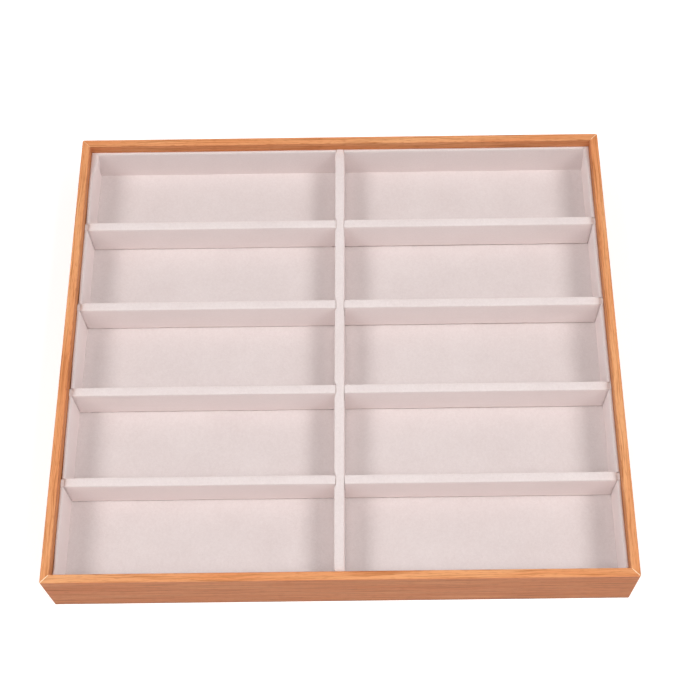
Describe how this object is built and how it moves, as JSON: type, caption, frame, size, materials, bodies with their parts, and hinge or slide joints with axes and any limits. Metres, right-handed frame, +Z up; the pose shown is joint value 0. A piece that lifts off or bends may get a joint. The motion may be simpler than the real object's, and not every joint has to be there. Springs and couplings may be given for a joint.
{
  "type": "sunglasses display tray",
  "caption": "Open rectangular display tray with a mitred wood-grain frame and flannel-lined compartments formed by lift-out interlocking dividers.",
  "frame": {"origin": "middle of the underside", "axes": "+X to the right along the longer side, +Y to the rear, +Z up"},
  "size_m": [0.38, 0.336, 0.048],
  "materials": {
    "wood_grain_film": "satin wood-grain film",
    "fibreboard": "raw medium-density fibreboard",
    "flannel": "short-napped flannel",
    "grey_card": "raw grey card",
    "foam": "closed-cell foam sheet",
    "backing_paper": "matt backing paper"
  },
  "bodies": {
    "tray": {"base_board": "fibreboard", "base_paper": "backing_paper", "floor_card": "grey_card", "floor_foam": "foam", "floor_lining": "flannel", "front_liner_card": "grey_card", "front_liner_cloth": "flannel", "front_wall": "fibreboard", "front_wall_film": "wood_grain_film", "left_liner_card": "grey_card", "left_liner_cloth": "flannel", "left_wall": "fibreboard", "left_wall_film": "wood_grain_film", "rear_liner_card": "grey_card", "rear_liner_cloth": "flannel", "rear_wall": "fibreboard", "rear_wall_film": "wood_grain_film", "right_liner_card": "grey_card", "right_liner_cloth": "flannel", "right_wall": "fibreboard", "right_wall_film": "wood_grain_film"},
    "cross_dividers": {"cross_divider_1_board": "fibreboard", "cross_divider_1_cloth": "flannel", "cross_divider_2_board": "fibreboard", "cross_divider_2_cloth": "flannel", "cross_divider_3_board": "fibreboard", "cross_divider_3_cloth": "flannel", "cross_divider_4_board": "fibreboard", "cross_divider_4_cloth": "flannel"},
    "centre_divider": {"centre_divider_board": "fibreboard", "centre_divider_cloth": "flannel"}
  },
  "joints": [
    {"name": "divider_grid_lift", "type": "slide", "parent": "tray", "child": "cross_dividers", "axis": [0, 0, 1], "range_m": [0, 0.045]},
    {"name": "centre_divider_lift", "type": "slide", "parent": "cross_dividers", "child": "centre_divider", "axis": [0, 0, 1], "range_m": [0, 0.04]}
  ]
}
